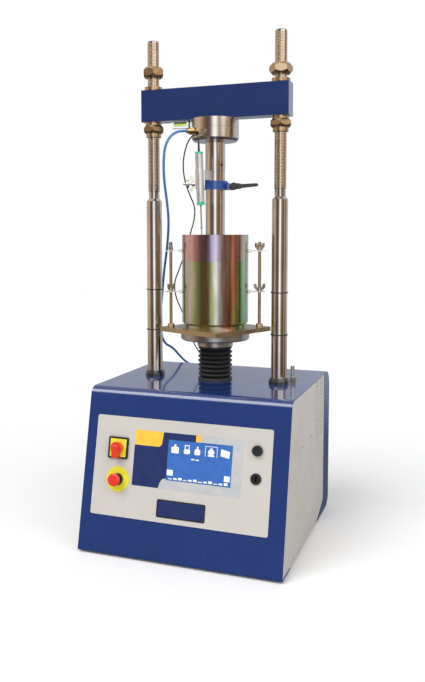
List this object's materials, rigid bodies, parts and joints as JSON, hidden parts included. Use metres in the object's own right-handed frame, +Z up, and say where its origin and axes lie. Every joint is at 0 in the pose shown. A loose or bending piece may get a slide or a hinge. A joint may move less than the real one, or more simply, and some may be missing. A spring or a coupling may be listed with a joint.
{
  "type": "california bearing ratio tester",
  "caption": "Bench press for soil bearing tests: columns and a crosshead on a cabinet, with a rising ram, load cell, penetration piston, displacement transducer and clamped mould.",
  "frame": {"origin": "centre of the cabinet's footprint, on the surface that it stands on", "axes": "+Z up along the columns, -Y towards the operator and the control panel, +X to the operator's right"},
  "size_m": [0.508, 0.6006, 1.2595],
  "materials": {
    "blue": "gloss",
    "beige": "satin",
    "zinc": "satin",
    "polished": "polished",
    "goldZinc": "satin",
    "bronze": "satin",
    "steel": "satin",
    "ironCast": "matte",
    "darkPlastic": "matte",
    "blackMetal": "satin",
    "rubberBlack": "matte",
    "screenGlass": "gloss",
    "redPlastic": "gloss",
    "yellowPlastic": "gloss",
    "silverPlastic": "satin",
    "brassFit": "satin",
    "clearBlock": "clear",
    "vialGlass": "clear",
    "ringBlue": "gloss",
    "alu": "satin",
    "greenPlastic": "gloss",
    "cableBlue": "satin",
    "cableGrey": "satin"
  },
  "bodies": {
    "frame": {"base_tray": "zinc", "rubber_feet": "rubberBlack", "front_cover": "blue", "rear_cover": "blue", "side_panels": "beige", "control_panel": "beige", "touch_screen": "screenGlass", "main_switch_frame": "darkPlastic", "estop_plate": "yellowPlastic", "estop_body": "darkPlastic", "upper_socket": "silverPlastic", "lower_socket": "darkPlastic", "rear_sockets": "darkPlastic", "mains_inlet": "darkPlastic", "lower_platform": "steel", "drive_unit": "ironCast", "columns": "polished", "column_rings": "rubberBlack", "column_foot_rings": "blackMetal", "column_nuts": "bronze", "crosshead": "blue", "upper_washers": "bronze", "beam_nuts": "bronze", "load_cell_cap": "steel", "load_cell_body": "polished", "cable_gland": "brassFit", "spirit_level_block": "clearBlock", "spirit_level_vial": "vialGlass", "piston_adapter": "polished", "piston": "polished", "bellows": "rubberBlack", "stop_post": "zinc", "cable_plugs": "darkPlastic", "load_cell_cable": "cableBlue", "transducer_cable": "cableGrey"},
    "ram": {"ram": "polished", "bellows_holder": "steel", "platen": "steel", "mould_base": "goldZinc", "mould_body": "goldZinc", "mould_collar": "goldZinc", "mould_studs": "goldZinc", "mould_lugs": "zinc"},
    "clamp": {"clamp_ring": "ringBlue", "transducer_bracket": "alu", "bracket_stud": "zinc", "transducer_tube": "alu", "transducer_caps": "greenPlastic", "transducer_relief": "rubberBlack"},
    "spindle": {"spindle": "steel"},
    "clamp_lever": {"clamp_lever": "darkPlastic"},
    "bracket_wing_nut": {"bracket_wing_nut": "zinc"},
    "wing_nut_low_left": {"wing_nut_low_left": "zinc"},
    "wing_nut_low_right": {"wing_nut_low_right": "zinc"},
    "wing_nut_high_left": {"wing_nut_high_left": "zinc"},
    "wing_nut_high_right": {"wing_nut_high_right": "zinc"},
    "main_switch": {"main_switch_handle": "redPlastic"},
    "estop_stem": {"estop_stem": "darkPlastic"},
    "estop_head": {"estop_head": "redPlastic"}
  },
  "joints": [
    {"name": "ram_lift", "type": "slide", "parent": "frame", "child": "ram", "axis": [0, 0, 1], "range_m": [-0.04, 0.045], "deforming": ["bellows"]},
    {"name": "clamp_swivel", "type": "hinge", "parent": "frame", "child": "clamp", "pos_m": [0, 0.019, 0.887], "axis": [0, 0, 1], "range_deg": [-12, 12]},
    {"name": "spindle_slide", "type": "slide", "parent": "clamp", "child": "spindle", "axis": [-0.032, -0.0115, 0.9994], "range_m": [-0.0402, 0.0452]},
    {"name": "clamp_lever_turn", "type": "hinge", "parent": "clamp", "child": "clamp_lever", "pos_m": [0.04328, 0.03458, 0.884], "axis": [0.3387, -0.9409, 0], "range_deg": [-60, 90]},
    {"name": "bracket_wing_nut_turn", "type": "hinge", "parent": "clamp", "child": "bracket_wing_nut", "pos_m": [-0.03338, -0.0536, 0.8874], "axis": [-0.9409, -0.3387, 0], "continuous": true},
    {"name": "wing_nut_low_left_turn", "type": "hinge", "parent": "ram", "child": "wing_nut_low_left", "pos_m": [-0.10754, -0.01972, 0.617], "axis": [0, 0, 1], "continuous": true},
    {"name": "wing_nut_low_right_turn", "type": "hinge", "parent": "ram", "child": "wing_nut_low_right", "pos_m": [0.10754, 0.05772, 0.617], "axis": [0, 0, 1], "continuous": true},
    {"name": "wing_nut_high_left_turn", "type": "hinge", "parent": "ram", "child": "wing_nut_high_left", "pos_m": [-0.10754, -0.01972, 0.722], "axis": [0, 0, 1], "continuous": true},
    {"name": "wing_nut_high_right_turn", "type": "hinge", "parent": "ram", "child": "wing_nut_high_right", "pos_m": [0.10754, 0.05772, 0.722], "axis": [0, 0, 1], "continuous": true},
    {"name": "main_switch_turn", "type": "hinge", "parent": "frame", "child": "main_switch", "pos_m": [-0.1655, -0.21284, 0.25238], "axis": [0, -0.9778, 0.2096], "range_deg": [0, 90]},
    {"name": "estop_press", "type": "slide", "parent": "frame", "child": "estop_stem", "axis": [0, 0.9778, -0.2096], "range_m": [0, 0.004]},
    {"name": "estop_twist", "type": "hinge", "parent": "estop_stem", "child": "estop_head", "pos_m": [-0.1615, -0.23666, 0.18181], "axis": [0, 0.9778, -0.2096], "range_deg": [0, 45], "stiffness_Nm_per_rad": 0.05}
  ],
  "couplings": [
    {"joint": "spindle_slide", "follows": "ram_lift", "ratio": 1.0006}
  ]
}
